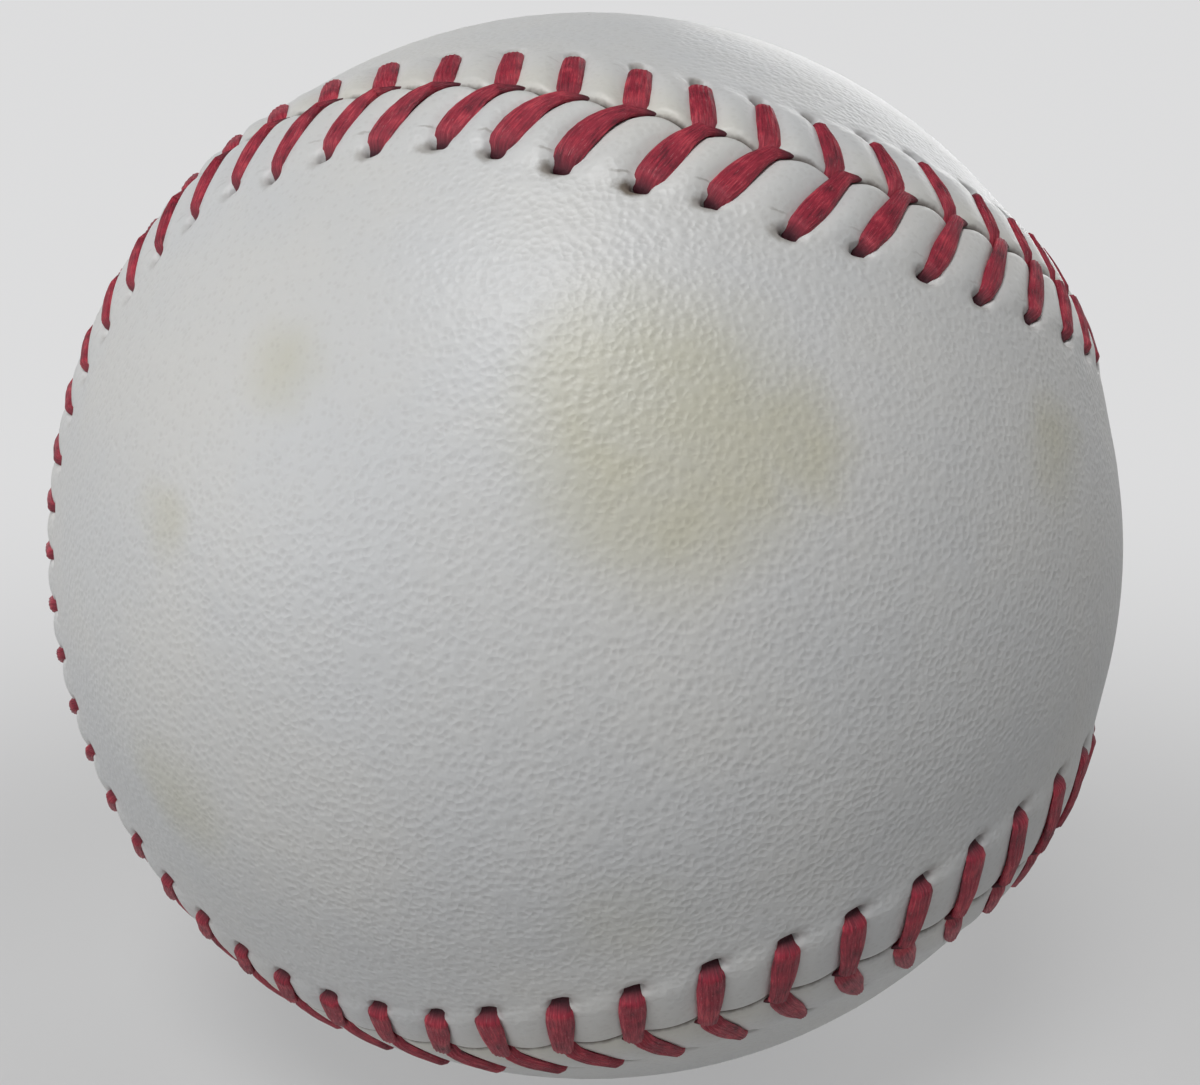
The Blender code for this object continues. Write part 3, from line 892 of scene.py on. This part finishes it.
def leatherMaterial(name, panel):
    material, tree, shader, spot = newMaterial(name)
    along, inland = seamPlace(tree)

    tone = eased(spot, hide, "tone")
    colour = mixed(tone, hide["cool"], hide["warm"])

    # tan stains, each a soft patch with a broken edge
    drifted = shifted(spot, *hide["drift"])
    tan = None
    for centre, inner, outer, strength in stains.values():
        point = tuple(value * mm for value in centre)
        away = addNode(tree, "VectorMath", {0: drifted, 1: point}, operation="DISTANCE").outputs["Value"]
        patch = ramp(away, inner * mm, outer * mm, strength, 0.0)
        tan = patch if tan is None else calc("MAXIMUM", tan, patch)
    tan = calc("MULTIPLY", tan, eased(spot, hide, "mottle"), clamp=True)
    colour = mixed(tan, colour, hide["stain"], "MULTIPLY")

    # pores, a little darker than the leather round them
    drawing = {
        "Vector": shifted(spot, *hide["poreShift"]), "Rotation": hide["poreTurn"],
        "Scale": hide["poreStretch"],
    }
    drawn = addNode(tree, "Mapping", drawing, vector_type="TEXTURE").outputs[0]
    pits = {"Vector": drawn, "Scale": hide["poreScale"], "Smoothness": hide["poreSmooth"]}
    pits = addNode(tree, "TexVoronoi", pits, feature="SMOOTH_F1")
    pore = ramp(pits.outputs["Distance"], *hide["poreEdge"])
    fine = noise(spot, *hide["fine"])
    colour = mixed(ramp(pore, *hide["poreDarkEdge"]), colour, hide["dirtAndShade"])

    # a few dark specks
    dots = addNode(tree, "TexVoronoi", {"Vector": spot, "Scale": hide["speckScale"]})
    pick = addNode(tree, "SeparateColor", {"Color": dots.outputs["Color"]}).outputs[0]
    chosen = calc("GREATER_THAN", pick, hide["speckChance"])
    speck = calc("MULTIPLY", ramp(dots.outputs["Distance"], *hide["speckEdge"]), chosen)
    colour = mixed(speck, colour, hide["speck"])

    # along the seam: cream edges, partly a painted highlight; grime and painted shade by the holes; a dark
    # slit of painted shade and dirt
    ragged = calc("SUBTRACT", noise(spot, *hide["ragged"]), 0.5)
    # the cream tint is partly the leather's own and partly a painted highlight on the edges, strongest on the
    # back panel
    cream = ramp(inland, *hide["creamReach"], panel["cream"], 0.0)
    colour = mixed(calc("MULTIPLY", cream, tone), colour, hide["cream"])
    leg = calc("FLOOR", calc("ADD", along, 0.5))
    aside = calc("MULTIPLY", calc("SUBTRACT", along, leg), pitch / mm)
    chance = addNode(tree, "TexWhiteNoise", {"W": leg}, noise_dimensions="1D").outputs["Value"]
    holeAt = leather["usualHole"] / mm

    def patchAt(behind, beyond, wide, long, strength):  # a soft oval beside the hole, in millimetres
        across = calc("DIVIDE", calc("ADD", aside, behind), wide)
        inward = calc("DIVIDE", calc("SUBTRACT", inland, holeAt + beyond), long)
        squares = [calc("MULTIPLY", value, value) for value in (across, inward)]
        away = calc("SQRT", calc("ADD", *squares))
        away = calc("MULTIPLY_ADD", ragged, hide["patchRagged"], away)
        return ramp(away, *hide["patchEdge"], strength, 0.0)

    grimeAndShadeByStitch = calc("MULTIPLY", *(ramp(leg, *edge) for edge in hide["grimeAndShadeByStitch"]))
    # grime and painted shade: a dark patch behind each hole, partly dirt and partly the painted shade of the
    # open hole
    grimeAndShade = calc("MULTIPLY", patchAt(*panel["grimeAndShade"]), ramp(chance, *hide["chanceEdge"]))
    grimeAndShade = calc("MULTIPLY", grimeAndShade, grimeAndShadeByStitch)
    colour = mixed(grimeAndShade, colour, hide["dirtAndShade"])
    # painted shade: a dark oval in each hole, where the thread goes down
    colour = mixed(patchAt(*panel["holeShade"]), colour, hide["shade"])
    # painted shade, with some dirt, darkens the slit between the edges
    slit = calc("MULTIPLY_ADD", ragged, hide["slitShadeRagged"], inland)
    colour = mixed(ramp(slit, *hide["slitShadeEdge"]), colour, hide["slit"])

    # short creases behind the holes, drawn as painted shadow lines
    wander = calc("MULTIPLY_ADD", aside, hide["creaseLean"], inland)
    wander = calc("MULTIPLY_ADD", ragged, hide["creaseRagged"], wander)
    where = ramp(chance, 0.0, 1.0, *(holeAt + at for at in hide["creaseAt"]))
    line = calc("ABSOLUTE", calc("SUBTRACT", wander, where))
    ends = calc("MULTIPLY", *(ramp(aside, *edge) for edge in hide["creaseEnds"]))
    creaseShade = calc("MULTIPLY", ramp(line, *hide["creaseEdge"], panel["creaseShade"], 0.0), ends)
    colour = mixed(calc("MULTIPLY", creaseShade, grimeAndShadeByStitch), colour, hide["dirtAndShade"])

    rough = calc("MULTIPLY_ADD", grimeAndShade, hide["grimeRough"], ramp(fine, *hide["roughEdge"]))
    stretched = ramp(inland, *hide["stretchEdge"])  # the welt is pulled smooth
    height = calc("MULTIPLY_ADD", fine, hide["fineShare"], calc("MULTIPLY", pore, stretched))
    height = calc("MULTIPLY_ADD", noise(spot, *hide["lumps"]), hide["lumpShare"], height)
    swell = noise(spot, *hide["rumple"])
    rumple = addNode(tree, "Bump", {"Height": swell, "Distance": hide["rumpleDepth"]})
    finish(shader, colour, rough, height, hide["poreDepth"], Normal=rumple.outputs["Normal"])
    return material


dye = {
    "deep": (0.13, 0.007, 0.020, 1),
    "red": (0.335, 0.017, 0.042, 1),
    "bright": (0.58, 0.055, 0.085, 1),
    # the colour of the painted glints
    "glintFleck": (0.72, 0.36, 0.36, 1),
    # painted shade for the thread where it goes down
    "end": (0.040, 0.005, 0.014, 1),
    "plyTurn": 0.35,
    "fibreScale": 7.0,
    "fibres": (1.0, 5.0, 0.75),
    "patches": (900.0, 2.0),
    "patchShare": 0.6,
    "fibreLess": 0.3,
    "redEdge": (0.30, 0.50),
    "brightEdge": (0.50, 0.68),
    "paintedGlint": (2.6, 3.0, 0.7),
    "paintedGlintEdge": (0.60, 0.72, 0.0, 0.7),
    "endShadeEdges": ((0.0, 0.05, 0.9, 0.0), (0.50, 0.80, 0.0, 0.8)),  # painted shade, by the hole and down in the slit
    "roughEdge": (0.3, 0.7, 0.62, 0.42),
    "fibreDepth": 0.09 * mm,
}


def threadMaterial(name):
    material, tree, shader, spot = newMaterial(name)
    along, across = seamPlace(tree)
    twisted = calc("MULTIPLY_ADD", along, dye["plyTurn"], across)  # the plies turn about each other
    drawn = [calc("MULTIPLY", value, dye["fibreScale"]) for value in (along, twisted)]
    lines = addNode(tree, "CombineXYZ", dict(zip("XY", drawn))).outputs[0]
    fibres = noise(lines, *dye["fibres"])
    patches = noise(spot, *dye["patches"])
    tint = calc("SUBTRACT", fibres, dye["fibreLess"])
    tint = calc("MULTIPLY_ADD", patches, dye["patchShare"], tint)
    colour = mixed(ramp(tint, *dye["redEdge"]), dye["deep"], dye["red"])
    colour = mixed(ramp(tint, *dye["brightEdge"]), colour, dye["bright"])
    # painted glints: pale flecks along the fibres stand in for highlights
    colour = mixed(eased(lines, dye, "paintedGlint"), colour, dye["glintFleck"])
    # painted shade: the thread darkens into its hole and down into the slit
    part = calc("FRACT", along)
    ends = calc("MAXIMUM", *(ramp(part, *edge) for edge in dye["endShadeEdges"]))
    colour = mixed(ends, colour, dye["end"])
    finish(shader, colour, ramp(fibres, *dye["roughEdge"]), fibres, dye["fibreDepth"])
    return material


wool = {
    "plyTurn": 0.45,
    "plies": 4 * math.pi,
    "plyShare": 0.25,
    "fuzz": (2600.0, 4.0, 0.7),
    "toneEdge": (0.1, 0.8),
    "roughEdge": (0.3, 0.7, 0.95, 0.75),
    "depth": 0.12 * mm,
    "sheen": 0.25,
}


def yarnMaterial(name, dark, pale):
    material, tree, shader, spot = newMaterial(name)
    along, across = seamPlace(tree)
    twisted = calc("MULTIPLY_ADD", along, wool["plyTurn"], across)
    plies = calc("SINE", calc("MULTIPLY", twisted, wool["plies"]))
    fuzz = noise(spot, *wool["fuzz"])
    height = calc("MULTIPLY_ADD", plies, wool["plyShare"], fuzz)
    colour = mixed(ramp(height, *wool["toneEdge"]), dark, pale)
    finish(shader, colour, ramp(fuzz, *wool["roughEdge"]), height, wool["depth"])
    shader.inputs["Sheen Weight"].default_value = wool["sheen"]
    return material


cork = {
    "dark": (0.30, 0.17, 0.08, 1),
    "pale": (0.52, 0.34, 0.18, 1),
    "gap": (0.12, 0.06, 0.03, 1),
    "shift": (500.0, 0.6 * mm),
    "scale": 650.0,
    "gapEdge": (0.45, 0.75, 0.0, 0.7),
    "roughEdge": (0.0, 1.0, 0.75, 0.95),
    "grain": (1800.0, 4.0, 0.7),
    "depth": 0.10 * mm,
}


def corkMaterial(name):
    material, tree, shader, spot = newMaterial(name)
    grains = {"Vector": shifted(spot, *cork["shift"]), "Scale": cork["scale"]}
    grains = addNode(tree, "TexVoronoi", grains)
    pick = addNode(tree, "SeparateColor", {"Color": grains.outputs["Color"]}).outputs[0]
    colour = mixed(pick, cork["dark"], cork["pale"])
    colour = mixed(ramp(grains.outputs["Distance"], *cork["gapEdge"]), colour, cork["gap"])
    rough = ramp(pick, *cork["roughEdge"])
    finish(shader, colour, rough, noise(spot, *cork["grain"]), cork["depth"])
    return material


rubber = {
    "bloom": (240.0, 5.0, 0.65),
    "bloomEdge": (0.35, 0.75),
    "roughEdge": (0.0, 1.0, 0.50, 0.78),
    "grain": (3500.0, 3.0),
    "depth": 0.02 * mm,
}


def rubberMaterial(name, dark, pale):
    material, tree, shader, spot = newMaterial(name)
    bloom = eased(spot, rubber, "bloom")
    rough = ramp(bloom, *rubber["roughEdge"])
    grain = noise(spot, *rubber["grain"])
    finish(shader, mixed(bloom, dark, pale), rough, grain, rubber["depth"])
    return material


finishes = {
    "cork": corkMaterial("pressed_cork"),
    "black_rubber": rubberMaterial("black_rubber", (0.016, 0.016, 0.016, 1), (0.040, 0.040, 0.038, 1)),
    "red_rubber": rubberMaterial("red_rubber", (0.36, 0.040, 0.032, 1), (0.46, 0.075, 0.060, 1)),
    "grey_wool": yarnMaterial("grey_wool_yarn", (0.16, 0.165, 0.18, 1), (0.40, 0.41, 0.43, 1)),
    "white_wool": yarnMaterial("white_wool_yarn", (0.50, 0.48, 0.43, 1), (0.80, 0.78, 0.72, 1)),
    "cotton": yarnMaterial("cotton_yarn", (0.58, 0.56, 0.50, 1), (0.84, 0.82, 0.77, 1)),
    "red_thread": threadMaterial("waxed_red_thread"),
}
leathers = {"cover_panel_" + name: leatherMaterial("leather_" + name, panels[name]) for name in panels}
dressed = [
    (corkPill, "cork_core", "cork"),
    (domes["rubber_black_upper"], "black_rubber_shell_upper", "black_rubber"),
    (domes["rubber_black_lower"], "black_rubber_shell_lower", "black_rubber"),
    (washer, "red_rubber_washer", "red_rubber"),
    (domes["rubber_red_left"], "red_rubber_shell_left", "red_rubber"),
    (domes["rubber_red_right"], "red_rubber_shell_right", "red_rubber"),
    (seamThread, "seam_thread", "red_thread"),
]
dressed += [(yarns[name], wound["node"], wound["slot"]) for name, wound in windings.items()]
dressed += [(frontPanel, "cover_panel_front", "leather"), (backPanel, "cover_panel_back", "leather")]
for piece, node, slot in dressed:
    piece.data.materials.append(leathers[node] if slot == "leather" else finishes[slot])
    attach(piece, "root")
    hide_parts(node)
print("materials set on", len(dressed), "pieces")


# The stage, the light and the camera
stage = {
    "radius": 1.5,
    "wallBend": 0.7,
    "wallHeight": 1.2,
    "bendSteps": 12,
    "steps": 64,
    "weld": 0.01 * mm,
    "roughness": 0.9,
    "air": 0.04,  # light from all round
    "colour": (0.52, 0.52, 0.517, 1),
    "backdrop": (0.72, 0.72, 0.725, 1),
    "fade": (1.6, 14.0, 1.0, 0.50),  # one over the distance, from and to, and the share there
}
lamps = {  # where from, how far away, how wide and how strong
    "key_light": ((-0.13, -0.57, 0.81), 0.5, 0.20, 1.46),
    "fill_light": ((-0.85, -0.49, 0.20), 0.9, 0.6, 2.0),
    "back_light": ((0.42, 0.82, 0.40), 0.9, 0.6, 2.2),
}
camera = {
    "lens": 38.6175,
    "distance": 97.68 * mm,
    "elevation": 10.0,
    "shift": (0.0086, 0.0026),
    "clip": (1 * mm, 20.0),
}


def addStage():
    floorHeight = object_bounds()[0].z
    bend = stage["radius"] - stage["wallBend"]
    profile = [(0, floorHeight), (bend, floorHeight)]
    for step in range(1, stage["bendSteps"] + 1):
        angle = step / stage["bendSteps"] * math.pi / 2
        rise = stage["wallBend"] * (1 - math.cos(angle))
        profile.append((bend + stage["wallBend"] * math.sin(angle), floorHeight + rise))
    profile.append((stage["radius"], floorHeight + stage["wallHeight"]))
    floor = addPiece("studio_floor", spunMesh(profile, False, stage["steps"], stage["weld"]))
    material, tree, shader, spot = newMaterial("studio_floor")
    shader.inputs["Base Color"].default_value = stage["colour"]
    shader.inputs["Roughness"].default_value = stage["roughness"]
    # far from the ball the eye sees a plain pale wall; near it the floor keeps its shadow
    away = addNode(tree, "VectorMath", {0: spot}, operation="LENGTH").outputs["Value"]
    rays = addNode(tree, "LightPath").outputs
    seen = calc("MAXIMUM", rays["Is Glossy Ray"], rays["Is Transmission Ray"])
    seen = calc("MAXIMUM", rays["Is Camera Ray"], seen)
    share = calc("MULTIPLY", ramp(calc("DIVIDE", 1.0, away), *stage["fade"]), seen)
    glow = addNode(tree, "Emission", {"Color": stage["backdrop"], "Strength": 1.0})
    both = addNode(tree, "MixShader", {0: share, 1: shader.outputs[0], 2: glow.outputs[0]})
    tree.links.new(both.outputs[0], tree.nodes["Material Output"].inputs["Surface"])
    floor.data.materials.append(material)


def aimed(made, place):  # turned to the ball's centre
    made.location = place
    made.rotation_euler = (-place).to_track_quat("-Z", "Y").to_euler()
    bpy.context.scene.collection.objects.link(made)
    return made


def addLamp(name, direction, distance, size, power):
    lamp = bpy.data.lights.new(name, "AREA")
    lamp.shape = "DISK"
    lamp.size = size
    lamp.energy = power
    aimed(bpy.data.objects.new(name, lamp), Vector(direction) * distance)


def addCamera():
    lens = bpy.data.cameras.new("photo_camera")
    lens.lens = camera["lens"]
    lens.shift_x, lens.shift_y = camera["shift"]
    lens.clip_start, lens.clip_end = camera["clip"]
    tilt = math.radians(camera["elevation"])
    place = Vector((0, -math.cos(tilt), math.sin(tilt))) * camera["distance"]
    bpy.context.scene.camera = aimed(bpy.data.objects.new("photo_camera", lens), place)


addStage()
addCamera()
for name, facts in lamps.items():
    addLamp(name, *facts)
world = bpy.data.worlds.new("studio")
bpy.context.scene.world = world
world.use_nodes = True
air = world.node_tree.nodes["Background"].inputs
air["Color"].default_value = (1, 1, 1, 1)
air["Strength"].default_value = stage["air"]
bpy.context.scene.view_settings.view_transform = "Standard"
print("stage, lights and camera set")
